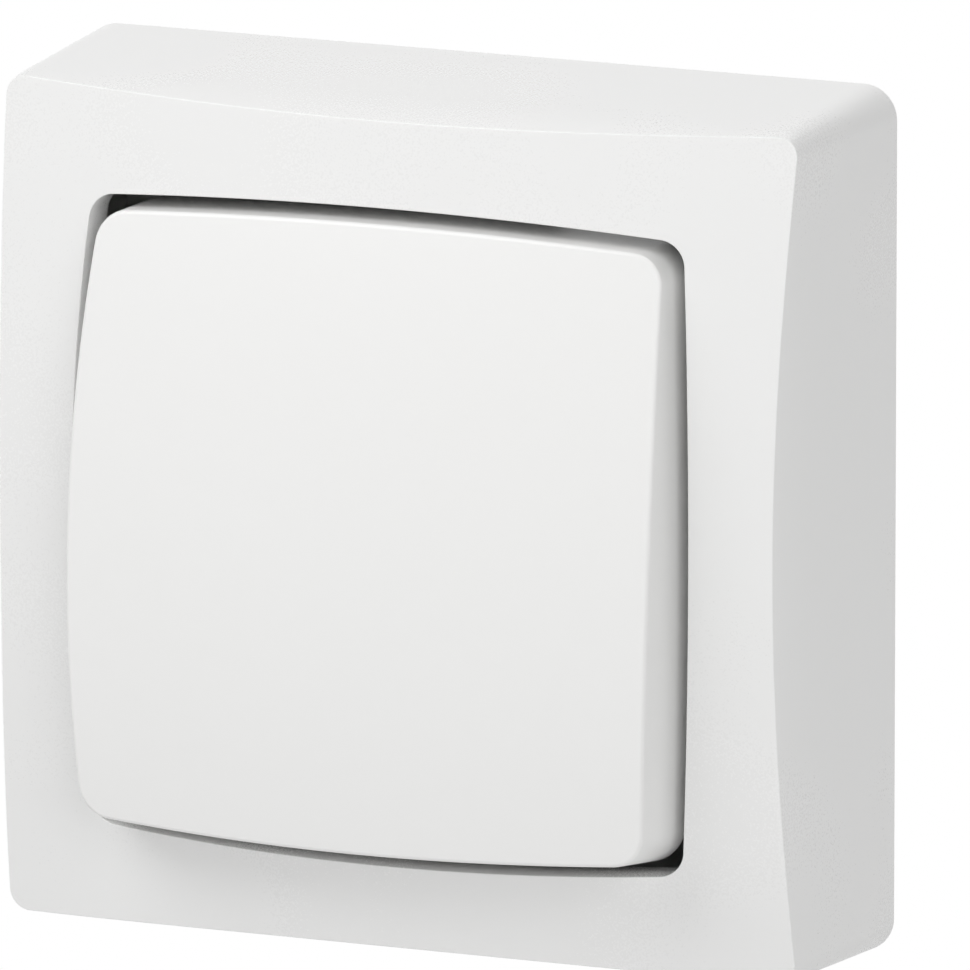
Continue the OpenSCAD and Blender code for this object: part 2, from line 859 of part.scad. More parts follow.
module terminal_screw_upper() {
    terminal_screw(LEFT, contact_y);
}

module terminal_screw_lower() {
    terminal_screw(LEFT, -contact_y);
}

// Pan head screw with a cross recess, through a tab of the housing into a post
module mechanism_screw(y) {
    head = post_top + tab_t;
    color(zinc_steel) on_wall() translate([0, y, 0]) difference() {
        union() {
            translate([0, 0, base_t])
                cylinder(h = head - base_t / 2, r = fixing_screw_r);
            intersection() {
                translate([0, 0, head]) cylinder(h = fixing_head_h, r = fixing_head_r);
                translate([0, 0, head + fixing_head_h - fixing_dome_r]) sphere(fixing_dome_r);
            }
        }
        for (turn = [0, 90])
            rotate(turn) translate([0, 0, head + fixing_head_h])
                cube([fixing_head_r, slot_cut, fixing_head_h], center = true);
    }
}

module mechanism_screw_upper() {
    mechanism_screw(tab_y);
}

module mechanism_screw_lower() {
    mechanism_screw(-tab_y);
}

base();
cover_frame();
mechanism_housing();
mechanism_lid();
rocker_key();
rocker_carrier();
plunger();
plunger_spring();
contact_bridge();
bridge_contact_upper();
bridge_contact_lower();
common_strip();
fixed_strip_upper();
fixed_strip_lower();
fixed_contact_upper();
fixed_contact_lower();
terminal_block_common();
terminal_block_upper();
terminal_block_lower();
terminal_screw_common();
terminal_screw_upper();
terminal_screw_lower();
mechanism_screw_upper();
mechanism_screw_lower();
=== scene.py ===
"""Looks of a surface mounted light switch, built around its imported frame.

The cover and the rocker key are smooth shells: a Geometry Nodes tree places rings of points on
the rule that the solids follow, and a Bevel modifier rounds their edges. A second tree repeats
the cover's latches and the key's ribs and hooks, and a third winds the plunger's spring. Every
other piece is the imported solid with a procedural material.

All sizes are in metres: +X right, +Z up, the wall plane at Y = 0 and the front towards -Y.
"""

import json
import logging
import math
from dataclasses import astuple, dataclass, field
from enum import Enum
from itertools import chain
from typing import ClassVar, Sequence

import bmesh
import bpy
from mathutils import Matrix, Vector


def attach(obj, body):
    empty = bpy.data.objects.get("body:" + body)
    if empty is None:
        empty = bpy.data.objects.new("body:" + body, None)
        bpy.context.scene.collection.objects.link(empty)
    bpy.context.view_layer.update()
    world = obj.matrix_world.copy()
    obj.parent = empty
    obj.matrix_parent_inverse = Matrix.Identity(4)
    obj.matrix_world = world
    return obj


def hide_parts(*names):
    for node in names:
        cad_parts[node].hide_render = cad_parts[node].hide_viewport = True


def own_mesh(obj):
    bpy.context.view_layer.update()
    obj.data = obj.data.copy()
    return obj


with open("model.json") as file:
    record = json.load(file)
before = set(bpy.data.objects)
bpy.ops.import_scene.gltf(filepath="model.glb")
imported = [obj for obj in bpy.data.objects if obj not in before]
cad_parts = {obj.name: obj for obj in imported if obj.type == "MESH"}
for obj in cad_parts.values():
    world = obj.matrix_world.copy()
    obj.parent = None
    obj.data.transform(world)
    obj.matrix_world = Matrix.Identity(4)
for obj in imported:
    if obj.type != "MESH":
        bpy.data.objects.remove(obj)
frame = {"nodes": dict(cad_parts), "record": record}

LOG = logging.getLogger("light_switch")
MM = 0.001
WHITE = (1.0, 1.0, 1.0, 1.0)
# Radius that stands for a straight edge
STRAIGHT = 1000.0
# Points on a quarter of a ring, and the share of them on the edge before its corner
POINTS_PER_SIDE = 96
EDGE_SHARE = 0.72


class Slot(Enum):
    """The record's material slots."""

    COVER = "cover_plastic"
    KEY = "key_plastic"
    BASE = "base_plastic"
    HOUSING = "housing_plastic"
    INNER = "inner_plastic"
    SPRING = "spring_steel"
    SCREW = "screw_steel"
    COPPER = "contact_copper"
    BRASS = "strip_brass"
    SILVER = "contact_silver"


@dataclass(frozen=True)
class Role:
    """What a piece is to the frame: the body it rides on, its slot and the node it replaces."""

    body: str
    slot: Slot
    node: str


COVER = Role("switch_base", Slot.COVER, "cover_frame")
KEY = Role("rocker", Slot.KEY, "rocker_key")
SPRING = Role("rocker", Slot.SPRING, "plunger_spring")


def feed(socket: bpy.types.NodeSocket, value: "Term | float") -> None:
    """Links a term to an input socket, or sets the socket to a plain number."""
    if isinstance(value, Term):
        value.tree.links.new(value.socket, socket)
    else:
        socket.default_value = value


class Term:
    """A number in a node tree, on which ordinary arithmetic adds Math nodes."""

    def __init__(self, tree: bpy.types.NodeTree, socket: bpy.types.NodeSocket) -> None:
        """Wraps an output socket of the tree that the formula grows in."""
        self.tree, self.socket = tree, socket

    def call(self, operation: str, *others: "Term | float") -> "Term":
        """Adds a Math node with this term as its first operand.

        Args:
            operation: The node's operation, such as SINE or MAXIMUM.
            others: The other operands, as terms or plain numbers.

        Returns:
            The node's result.
        """
        node = self.tree.nodes.new("ShaderNodeMath")
        node.operation = operation
        for socket, value in zip(node.inputs, (self, *others)):
            feed(socket, value)
        return Term(self.tree, node.outputs[0])

    def __add__(self, other: "Term | float") -> "Term":
        """Adds another number."""
        return self.call("ADD", other)

    def __sub__(self, other: "Term | float") -> "Term":
        """Takes another number away."""
        return self.call("SUBTRACT", other)

    def __rsub__(self, other: float) -> "Term":
        """Takes this term away from a number."""
        return -(self - other)

    def __mul__(self, other: "Term | float") -> "Term":
        """Multiplies by another number."""
        return self.call("MULTIPLY", other)

    def __truediv__(self, other: "Term | float") -> "Term":
        """Divides by another number."""
        return self.call("DIVIDE", other)

    def __neg__(self) -> "Term":
        """Changes the sign."""
        return self.call("MULTIPLY", -1.0)

    __radd__ = __add__
    __rmul__ = __mul__

    def mix(self, other: "Term", share: "Term") -> "Term":
        """Goes from this term at share 0 to the other at share 1."""
        return self + (other - self) * share


class NodeGroup:
    """A node group whose inputs and outputs are plain numbers."""

    TREE = "GeometryNodeTree"
    NODE = "GeometryNodeGroup"

    def __init__(self, name: str, inputs: Sequence[str], outputs: Sequence[str]) -> None:
        """Makes the group and its sockets.

        Args:
            name: The group's name.
            inputs: Names of its number inputs.
            outputs: Names of its number outputs.
        """
        self.tree = bpy.data.node_groups.new(name, self.TREE)
        for way, titles in (("INPUT", inputs), ("OUTPUT", outputs)):
            for title in titles:
                self.tree.interface.new_socket(title, in_out=way, socket_type="NodeSocketFloat")
        source = self.tree.nodes.new("NodeGroupInput")
        self.sink = self.tree.nodes.new("NodeGroupOutput")
        self.terms = {title: Term(self.tree, source.outputs[title]) for title in inputs}

    def __getitem__(self, title: str) -> Term:
        """Gives the term of a named input."""
        return self.terms[title]

    def result(self, title: str, term: Term) -> None:
        """Connects a term to a named output."""
        feed(self.sink.inputs[title], term)

    def use(self, tree: bpy.types.NodeTree, values: "dict[str, Term | float]") -> dict[str, Term]:
        """Places the group in another tree.

        Args:
            tree: The tree that uses the group.
            values: Numbers by name, of which the group takes those that are its inputs.

        Returns:
            The group's outputs by name.
        """
        node = tree.nodes.new(self.NODE)
        node.node_tree = self.tree
        for socket in node.inputs:
            if socket.name in values:
                feed(socket, values[socket.name])
        return {socket.name: Term(tree, socket) for socket in node.outputs}


def outline_formula() -> NodeGroup:
    """Makes the rule for a square of four bowed edges with a round at each corner.

    Returns:
        A group that gives the point at Around, from 0 to 4 once round the outline.
    """
    rule = NodeGroup(
        "bowed_outline",
        ["Around", "Grow", "Half", "Edge radius", "Corner radius", "Corner centre", "Touch"],
        ["X", "Y"],
    )
    side = rule["Around"].call("FLOOR")
    along = (rule["Around"] - side) * 2.0 - 1.0
    reach = along.call("ABSOLUTE")
    on_edge = (reach / EDGE_SHARE).call("MINIMUM", 1.0)
    on_corner = ((reach - EDGE_SHARE) / (1.0 - EDGE_SHARE)).call("MAXIMUM", 0.0)
    angle = rule["Touch"] * on_edge + (math.pi / 4 - rule["Touch"]) * on_corner
    edge_radius = rule["Edge radius"] + rule["Grow"]
    corner_radius = rule["Corner radius"] + rule["Grow"]
    half_sine = (angle * 0.5).call("SINE")
    edge_x = rule["Half"] + rule["Grow"] - edge_radius * half_sine * half_sine * 2.0
    edge_y = edge_radius * angle.call("SINE")
    corner_x = rule["Corner centre"] + corner_radius * angle.call("COSINE")
    corner_y = rule["Corner centre"] + corner_radius * angle.call("SINE")
    past_edge = reach.call("GREATER_THAN", EDGE_SHARE)
    x = edge_x.mix(corner_x, past_edge)
    y = edge_y.mix(corner_y, past_edge) * along.call("SIGN")
    turn = side * (math.pi / 2)
    rule.result("X", x * turn.call("COSINE") - y * turn.call("SINE"))
    rule.result("Y", x * turn.call("SINE") + y * turn.call("COSINE"))
    return rule


def dome_formula() -> NodeGroup:
    """Makes the rule for a double-curved face.

    Returns:
        A group that gives the face's distance from the wall over a point.
    """
    rule = NodeGroup("domed_face", ["X", "Y", "Face top", "Face across", "Face along"], ["Out"])
    square_y = rule["Y"] * rule["Y"]
    along = rule["Face along"]
    sag_y = square_y / (along + (along * along - square_y).call("SQRT"))
    ring = rule["Face across"] - sag_y
    square_x = rule["X"] * rule["X"]
    sag_x = square_x / (ring + (ring * ring - square_x).call("SQRT"))
    rule.result("Out", rule["Face top"] - sag_y - sag_x)
    return rule


def lean_formula() -> NodeGroup:
    """Makes the rule for a side wall that leans in by a draft and then rolls over.

    Returns:
        A group that gives how far the wall stands in at a distance from the wall plane.
    """
    titles = ["Out", "Foot", "Draft", "Roll start", "Roll radius"]
    rule = NodeGroup("leaning_side", titles, ["Inset"])
    out, foot, draft, start, radius = (rule[title] for title in titles)
    straight = (out.call("MINIMUM", start) - foot) * draft.call("TANGENT")
    rise = (out - start).call("MAXIMUM", 0.0) + radius * draft.call("SINE")
    roll = radius * draft.call("COSINE") - (radius * radius - rise * rise).call("SQRT")
    rule.result("Inset", straight + roll)
    return rule


@dataclass(frozen=True)
class Outline:
    """A square of bowed edges with a round at each corner, about the middle of the piece."""

    half: float
    bow: float
    corner_radius: float

    @property
    def reach(self) -> float:
        """Half the width over the ends of the edges."""
        return self.half - self.bow

    @property
    def edge_radius(self) -> float:
        """Radius of a bowed edge."""
        if not self.bow:
            return STRAIGHT
        return (self.reach**2 + self.bow**2) / (2 * self.bow)

    def grown(self, distance: float, corner_radius: float) -> "RoundedOutline":
        """Moves the edges outwards and rounds the corners anew.

        Args:
            distance: How far the edges move out.
            corner_radius: Radius of the new corners.

        Returns:
            The outline with its corner's centre worked out.
        """
        big = self.edge_radius + distance
        middle = self.half - self.edge_radius
        if self.bow:
            centre = (middle + math.sqrt(2 * (big - corner_radius) ** 2 - middle**2)) / 2
        else:
            centre = self.half + distance - corner_radius
        touch = math.atan2(centre, centre - middle)
        return RoundedOutline(self.half + distance, big, corner_radius, centre, touch)

    def rounded(self) -> "RoundedOutline":
        """Gives the outline as it stands, with its corner's centre worked out."""
        return self.grown(0.0, self.corner_radius)


@dataclass(frozen=True)
class RoundedOutline:
    """The numbers that the outline rule takes."""

    half: float = 0.0
    edge_radius: float = 0.0
    corner_radius: float = 0.0
    corner_centre: float = 0.0
    touch: float = 0.0


@dataclass(frozen=True)
class Ring:
    """One closed ring of points of a lofted shell.

    share runs from 0 on the outer outline to 1 on the inner one. A ring lies level at out, or
    at follow 1 on the domed face, below it by drop. bevel is how strongly its edge is rounded.
    """

    share: float = 0.0
    grow: float = 0.0
    inset: float = 0.0
    out: float = 0.0
    follow: float = 0.0
    drop: float = 0.0
    bevel: float = 0.0


@dataclass(frozen=True)
class Face:
    """A double-curved front: its highest point and its two radii."""

    top: float
    across: float
    along: float


@dataclass(frozen=True)
class Side:
    """A side wall: where it is true to its outline, its draft and its roll to the front."""

    foot: float
    draft: float
    roll_start: float = 1.0
    roll_radius: float = 0.05


@dataclass(frozen=True)
class Shell:
    """A shell to loft: its rings, the outlines of its sides and its opening, and its place.

    closed says whether the last ring joins the first; if not, each end is one point.
    """

    rings: Sequence[Ring]
    outer: RoundedOutline
    inner: RoundedOutline
    face: Face
    side: Side
    tilt: float = 0.0
    pivot: float = 0.0
    closed: bool = True


def shape_tree(name: str, **inputs: Sequence[str]) -> tuple[bpy.types.NodeTree, bpy.types.Node]:
    """Starts a Geometry Nodes tree that takes a mesh and a material and makes one shape.

    Args:
        name: The tree's name.
        inputs: Names of its other inputs by their kind, such as Float or Object.

    Returns:
        The tree and its input node.
    """
    tree = bpy.data.node_groups.new(name, "GeometryNodeTree")
    for kind, titles in {"Geometry": ["Mesh"], **inputs, "Material": ["Material"]}.items():
        for title in titles:
            tree.interface.new_socket(title, in_out="INPUT", socket_type=f"NodeSocket{kind}")
    tree.interface.new_socket("Shape", in_out="OUTPUT", socket_type="NodeSocketGeometry")
    return tree, tree.nodes.new("NodeGroupInput")


def end_tree(
    tree: bpy.types.NodeTree, entry: bpy.types.Node, made: bpy.types.NodeSocket
) -> None:
    """Ends a tree: real geometry with the material that comes in.

    Args:
        tree: The tree.
        entry: Its input node.
        made: The socket that holds the shape.
    """
    new, link = tree.nodes.new, tree.links.new
    real, paint = new("GeometryNodeRealizeInstances"), new("GeometryNodeSetMaterial")
    link(made, real.inputs[0])
    link(real.outputs[0], paint.inputs["Geometry"])
    link(entry.outputs["Material"], paint.inputs["Material"])
    link(paint.outputs[0], new("NodeGroupOutput").inputs["Shape"])


def named_attribute(tree: bpy.types.NodeTree, title: str, kind: str) -> bpy.types.NodeSocket:
    """Reads a point attribute of the mesh that comes in."""
    node = tree.nodes.new("GeometryNodeInputNamedAttribute")
    node.data_type = kind
    node.inputs["Name"].default_value = title
    return node.outputs["Attribute"]


class RingLoft:
    """A Geometry Nodes tree that places rings of points on a shell's rule."""

    NUMBERS = ("around", "share", "grow", "inset", "out", "follow", "drop")
    OUTLINE = ("Half", "Edge radius", "Corner radius", "Corner centre", "Touch")
    FACE = ("Face top", "Face across", "Face along")
    SIDE = ("Foot", "Draft", "Roll start", "Roll radius")
    ROUNDS = 4

    def __init__(self, palette: "Palette") -> None:
        """Builds the tree once, for every shell that uses it."""
        self.palette = palette
        self.outline, self.dome, self.lean = outline_formula(), dome_formula(), lean_formula()
        lines = [f"{which} {part}" for which in ("Outer", "Inner") for part in self.OUTLINE]
        self.inputs = (*lines, *self.FACE, *self.SIDE, "Tilt", "Pivot")
        self.tree, entry = shape_tree("ring_loft", Float=self.inputs)
        end_tree(self.tree, entry, self._placed(entry))

    def _outline_at(self, which: str, source: dict[str, Term], grow: Term) -> tuple[Term, Term]:
        """Gives the point of the "Outer" or the "Inner" outline, moved out by grow."""
        numbers = {part: source[f"{which} {part}"] for part in self.OUTLINE}
        found = self.outline.use(self.tree, {**numbers, "Around": source["around"], "Grow": grow})
        return found["X"], found["Y"]

    def _face_at(self, source: dict[str, Term], x: Term, y: Term) -> Term:
        """Gives the domed face's distance from the wall, less the ring's drop."""
        return self.dome.use(self.tree, {**source, "X": x, "Y": y})["Out"] - source["drop"]

    def _side_at(self, source: dict[str, Term], out: Term) -> tuple[Term, Term]:
        """Gives the point of the side wall at a distance from the wall plane."""
        lean = self.lean.use(self.tree, {**source, "Out": out})
        return self._outline_at("Outer", source, -(lean["Inset"] + source["inset"]))

    def _placed(self, entry: bpy.types.Node) -> bpy.types.NodeSocket:
        """Adds the nodes of the rule and the tilt.

        Args:
            entry: The tree's input node.

        Returns:
            The socket that holds the rings in their places.
        """
        tree = self.tree
        source = {title: Term(tree, entry.outputs[title]) for title in self.inputs}
        for title in self.NUMBERS:
            source[title] = Term(tree, named_attribute(tree, title, "FLOAT"))
        # The crease, where the side meets the face, settles after a few rounds
        crease = source["Face top"] - source["drop"]
        for _ in range(self.ROUNDS):
            crease = self._face_at(source, *self._side_at(source, crease))
        side_out = source["out"].mix(crease, source["follow"])
        side_x, side_y = self._side_at(source, side_out)
        inner_x, inner_y = self._outline_at("Inner", source, source["grow"])
        x = side_x.mix(inner_x, source["share"])
        y = side_y.mix(inner_y, source["share"])
        front_out = source["out"].mix(self._face_at(source, x, y), source["follow"])
        out = side_out.mix(front_out, source["share"].call("GREATER_THAN", 0.0))
        # The tilt about a level axis at the pivot
        ahead = out - source["Pivot"]
        sine, cosine = source["Tilt"].call("SINE"), source["Tilt"].call("COSINE")
        place, move = (
            tree.nodes.new(kind) for kind in ("ShaderNodeCombineXYZ", "GeometryNodeSetPosition")
        )
        parts = (x, y * sine - ahead * cosine - source["Pivot"], y * cosine + ahead * sine)
        for socket, part in zip(place.inputs, parts):
            feed(socket, part)
        tree.links.new(entry.outputs["Mesh"], move.inputs["Geometry"])
        tree.links.new(place.outputs[0], move.inputs["Position"])
        return move.outputs[0]

    def rings_mesh(self, name: str, shell: Shell) -> bpy.types.Mesh:
        """Makes the mesh that the tree shapes: rings of points that carry their numbers.

        Args:
            name: The mesh's name.
            shell: The shell to loft.

        Returns:
            A mesh whose points have no place yet.
        """
        rings, closed, count = shell.rings, shell.closed, 4 * POINTS_PER_SIDE
        owner = [(i, k / POINTS_PER_SIDE) for i in range(len(rings)) for k in range(count)]
        if not closed:
            owner = [(0, 0.0), *owner[count:-count], (len(rings) - 1, 0.0)]

        def point(ring: int, k: int) -> int:
            """Gives the index of a ring's point."""
            if closed:
                return ring * count + k % count
            if ring in (0, len(rings) - 1):
                return 0 if ring == 0 else len(owner) - 1
            return 1 + (ring - 1) * count + k % count

        faces = []
        for low in range(len(rings) if closed else len(rings) - 1):
            high = (low + 1) % len(rings)
            for k in range(count):
                loop = [point(low, k), point(low, k + 1), point(high, k + 1), point(high, k)]
                faces.append(list(dict.fromkeys(loop)))
        mesh = bpy.data.meshes.new(name)
        mesh.from_pydata([(0.0, 0.0, 0.0)] * len(owner), [], faces)
        mesh.shade_smooth()
        for title in self.NUMBERS:
            values = [at if title == "around" else getattr(rings[i], title) for i, at in owner]
            mesh.attributes.new(title, "FLOAT", "POINT").data.foreach_set("value", values)
        weights = []
        for edge in mesh.edges:
            a, b = (owner[v][0] for v in edge.vertices)
            weights.append(rings[a].bevel if a == b else 0.0)
        weight = mesh.attributes.new("bevel_weight_edge", "FLOAT", "EDGE")
        weight.data.foreach_set("value", weights)
        return mesh

    def build(self, name: str, shell: Shell, role: Role, rounding: float) -> None:
        """Lofts a shell, hands it to the frame and rounds its weighted edges.

        Args:
            name: The piece's name.
            shell: The shell to loft.
            role: What it is to the frame.
            rounding: Width of the rounding of an edge of weight 1.
        """
        rules = (shell.outer, shell.inner, shell.face, shell.side)
        values = [*chain(*map(astuple, rules)), shell.tilt, shell.pivot]
        inputs = {**dict(zip(self.inputs, values)), "Material": self.palette[role.slot]}
        mesh = run_tree(self.tree, self.rings_mesh(name, shell), inputs)
        outward(mesh)
        round_edges(piece(mesh, role), rounding, segments=4)


class Repeat:
    """A Geometry Nodes tree that sets a copy of a small prism on each of a few places."""

    def __init__(self, palette: "Palette") -> None:
        """Builds the tree once, for every prism that is repeated."""
        self.palette = palette
        self.tree, entry = shape_tree("repeat_on_places", Object=["Piece"])
        new, link = self.tree.nodes.new, self.tree.links.new
        pattern, angles = new("GeometryNodeObjectInfo"), new("FunctionNodeEulerToRotation")
        copies = new("GeometryNodeInstanceOnPoints")
        link(entry.outputs["Mesh"], copies.inputs["Points"])
        link(entry.outputs["Piece"], pattern.inputs["Object"])
        link(pattern.outputs["Geometry"], copies.inputs["Instance"])
        link(named_attribute(self.tree, "turn", "FLOAT_VECTOR"), angles.inputs[0])
        link(angles.outputs[0], copies.inputs["Rotation"])
        end_tree(self.tree, entry, copies.outputs[0])

    def build(
        self,
        name: str,
        pattern: bpy.types.Mesh,
        places: Sequence[Matrix],
        role: Role,
        rounding: float = 0.0,
    ) -> None:
        """Sets copies of a prism on places and hands them to the frame as one piece.

        Args:
            name: The piece's name.
            pattern: The prism to repeat, about its own origin; it is removed afterwards.
            places: Where each copy goes, without any scale.
            role: What the piece is to the frame.
            rounding: Width of the rounding of sharp edges, or 0 to leave them sharp.
        """
        holder = bpy.data.objects.new(f"{name}_pattern", pattern)
        points = bpy.data.meshes.new(name)
        points.from_pydata([place.to_translation() for place in places], [], [])
        turns = [angle for place in places for angle in place.to_euler()]
        points.attributes.new("turn", "FLOAT_VECTOR", "POINT").data.foreach_set("vector", turns)
        inputs = {"Piece": holder, "Material": self.palette[role.slot]}
        made = piece(run_tree(self.tree, points, inputs), role)
        bpy.data.objects.remove(holder)
        bpy.data.meshes.remove(pattern)
        if rounding:
            round_edges(made, rounding, segments=2, limit="ANGLE")


def run_tree(
    tree: bpy.types.NodeTree, mesh: bpy.types.Mesh, inputs: dict[str, object]
) -> bpy.types.Mesh:
    """Runs a Geometry Nodes tree on a mesh.

    Args:
        tree: The tree.
        mesh: The mesh that goes in; it is removed afterwards.
        inputs: The tree's other inputs by name.

    Returns:
        The result as a plain mesh.
    """
    name = mesh.name
    holder = placed(name, mesh)
    modifier = holder.modifiers.new("shape", "NODES")
    modifier.node_group = tree
    for item in tree.interface.items_tree:
        if item.in_out == "INPUT" and item.name in inputs:
            modifier[item.identifier] = inputs[item.name]
    graph = bpy.context.evaluated_depsgraph_get()
    result = bpy.data.meshes.new_from_object(holder.evaluated_get(graph), depsgraph=graph)
    bpy.data.objects.remove(holder)
    bpy.data.meshes.remove(mesh)
    result.name = name
    return result


def outward(mesh: bpy.types.Mesh) -> None:
    """Turns every face of a closed mesh outwards."""
    work = bmesh.new()
    work.from_mesh(mesh)
    bmesh.ops.recalc_face_normals(work, faces=work.faces)
    work.to_mesh(mesh)
    work.free()


def prism(name: str, section: Sequence[tuple[float, float]], length: float) -> bpy.types.Mesh:
    """Makes a prism along x, centred on x = 0.

    Args:
        name: The mesh's name.
        section: Corners of its section in y and z.
        length: Its length.

    Returns:
        The prism with its faces outwards.
    """
    count = len(section)
    points = [(x, y, z) for x in (-length / 2, length / 2) for y, z in section]
    faces = [list(range(count)), list(range(count, 2 * count))]
    faces += [[k, (k + 1) % count, count + (k + 1) % count, count + k] for k in range(count)]
    mesh = bpy.data.meshes.new(name)
    mesh.from_pydata(points, [], faces)
    outward(mesh)
    return mesh


def standing(x: float, height: float, turn: float = 0.0) -> Matrix:
    """Stands a prism against the wall, its section's z pointing out from it.

    Args:
        x: Distance to the right of the middle.
        height: Distance above the middle.
        turn: Turn about the direction out from the wall.

    Returns:
        The place.
    """
    stand = Matrix.Rotation(math.pi / 2, 4, "X") @ Matrix.Rotation(turn, 4, "Z")
    return Matrix.Translation((x, 0.0, height)) @ stand


def tilted(angle: float, pivot: float) -> Matrix:
    """Gives the turn about a level axis, a distance out from the wall, that presses the top in."""
    out = Matrix.Translation((0.0, -pivot, 0.0))
    return out @ Matrix.Rotation(-angle, 4, "X") @ out.inverted()


def placed(name: str, data: bpy.types.ID) -> bpy.types.Object:
    """Makes an object of a mesh, a light or a camera and puts it in the scene."""
    made = bpy.data.objects.new(name, data)
    bpy.context.scene.collection.objects.link(made)
    return made


def piece(mesh: bpy.types.Mesh, role: Role) -> bpy.types.Object:
    """Makes an object of a finished mesh, by the mesh's name, and hands it to the frame.

    Args:
        mesh: The mesh, in place.
        role: What it is to the frame.

    Returns:
        The object.
    """
    made = placed(mesh.name, mesh)
    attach(made, role.body)
    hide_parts(role.node)
    LOG.info("%s: %d faces on %s", made.name, len(mesh.polygons), role.body)
    return made


def round_edges(
    made: bpy.types.Object, radius: float, segments: int, limit: str = "WEIGHT"
) -> None:
    """Rounds the weighted edges of a shell, or the sharp ones of a small piece.

    Args:
        made: The piece.
        radius: Width of the rounding, where a weighted edge has the weight 1.
        segments: Faces across the rounding.
        limit: "WEIGHT" for weighted edges, "ANGLE" for sharp ones.
    """
    bevel = made.modifiers.new("edge_rounds", "BEVEL")
    bevel.limit_method = limit
    bevel.offset_type = "OFFSET"
    bevel.width = radius
    bevel.segments = segments
    bevel.harden_normals = True
    bevel.use_clamp_overlap = True


class ShaderGroup(NodeGroup):
    """A shader node group that more than one finish uses."""

    TREE = "ShaderNodeTree"
    NODE = "ShaderNodeGroup"

    def __init__(self, name: str, inputs: dict[str, float], outputs: Sequence[str]) -> None:
        """Makes the group and its sockets.

        Args:
            name: The group's name.
            inputs: Its number inputs with their usual values.
            outputs: Its number outputs.
        """
        super().__init__(name, list(inputs), outputs)
        for item in self.tree.interface.items_tree:
            if item.in_out == "INPUT":
                item.default_value = inputs[item.name]
        self.place = self.tree.nodes.new("ShaderNodeTexCoord").outputs["Object"]

    def noise(self, scale: Term | float, detail: float, stretch: tuple[float, ...] = ()) -> Term:
        """Adds a noise over the object's own coordinates.

        Args:
            scale: Its scale in waves a metre.
            detail: Its detail.
            stretch: Scale of x, y and z, where the pattern is drawn out.

        Returns:
            The noise from 0 to 1.
        """
        node = self.tree.nodes.new("ShaderNodeTexNoise")
        node.inputs["Detail"].default_value = detail
        where = self.place
        if stretch:
            mapping = self.tree.nodes.new("ShaderNodeMapping")
            mapping.inputs["Scale"].default_value = stretch
            self.tree.links.new(where, mapping.inputs["Vector"])
            where = mapping.outputs[0]
        self.tree.links.new(where, node.inputs["Vector"])
        feed(node.inputs["Scale"], scale)
        return Term(self.tree, node.outputs["Fac"])


def moulded_grain() -> ShaderGroup:
    """Makes the fine spark grain and faint flow marks of a moulded plastic.

    Returns:
        A group that gives the tone, the roughness and the height.
    """
    group = ShaderGroup(
        "moulded_grain",
        {"Grain scale": 5200.0, "Flow scale": 28.0, "Roughness": 0.4, "Roughness spread": 0.06},
        ["Tone", "Roughness", "Height"],
    )
    grain = group.noise(group["Grain scale"], 3.0)
    flow = group.noise(group["Flow scale"], 2.0)
    waves = group.noise(220.0, 2.0)
    spread = (flow * 0.7 + grain * 0.3 - 0.5) * group["Roughness spread"] * 2.0
    group.result("Tone", flow * 0.7 + waves * 0.3)
    group.result("Roughness", group["Roughness"] + spread)
    group.result("Height", grain + waves * 0.25)
    return group


def drawn_metal() -> ShaderGroup:
    """Makes the drawn lines and dull spots of rolled or turned metal.

    Returns:
        A group that gives the dullness, the roughness and the height.
    """
    group = ShaderGroup(
        "drawn_metal",
        {"Line scale": 900.0, "Spot scale": 260.0, "Roughness": 0.28, "Roughness spread": 0.14},
        ["Dullness", "Roughness", "Height"],
    )
    lines = group.noise(group["Line scale"], 2.0, (0.08, 1.0, 1.0))
    spots = group.noise(group["Spot scale"], 4.0)
    dull = ((spots - 0.45) * 3.0).call("MAXIMUM", 0.0).call("MINIMUM", 1.0)
    spread = (lines * 0.5 + dull * 0.5) * group["Roughness spread"]
    group.result("Dullness", dull)
    group.result("Roughness", group["Roughness"] + spread)
    group.result("Height", lines)
    return group


@dataclass(frozen=True)
class Finish:
    """A surface finish: a colour, its variation and the group that drives it."""

    name: str
    colour: tuple[float, float, float]
    shade: tuple[float, float, float]
    roughness: float
    metal: bool = False
    grain_scale: float = 5200.0
    grain_depth: float = 0.004 * MM
    grain_strength: float = 0.35

    def material(self, groups: dict[str, ShaderGroup]) -> bpy.types.Material:
        """Builds the material.

        Args:
            groups: The shared shader groups by name.

        Returns:
            The material.
        """
        made = bpy.data.materials.new(self.name)
        made.use_nodes = True
        tree = made.node_tree
        shader = tree.nodes["Principled BSDF"]
        kind, scale, mask = "plastic", "Grain scale", "Tone"
        if self.metal:
            kind, scale, mask = "metal", "Line scale", "Dullness"
            feed(shader.inputs["Metallic"], 1.0)
        marks = groups[kind].use(tree, {scale: self.grain_scale, "Roughness": self.roughness})
        blend, bump = tree.nodes.new("ShaderNodeMix"), tree.nodes.new("ShaderNodeBump")
        blend.data_type = "RGBA"
        # The mix's colour sockets, which share their names with its number sockets
        plain, marked, mixed = blend.inputs[6], blend.inputs[7], blend.outputs[2]
        feed(blend.inputs["Factor"], marks[mask])
        feed(plain, (*self.colour, 1.0))
        feed(marked, (*self.shade, 1.0))
        feed(bump.inputs["Strength"], self.grain_strength)
        feed(bump.inputs["Distance"], self.grain_depth)
        tree.links.new(mixed, shader.inputs["Base Color"])
        feed(shader.inputs["Roughness"], marks["Roughness"])
        feed(bump.inputs["Height"], marks["Height"])
        tree.links.new(bump.outputs["Normal"], shader.inputs["Normal"])
        return made


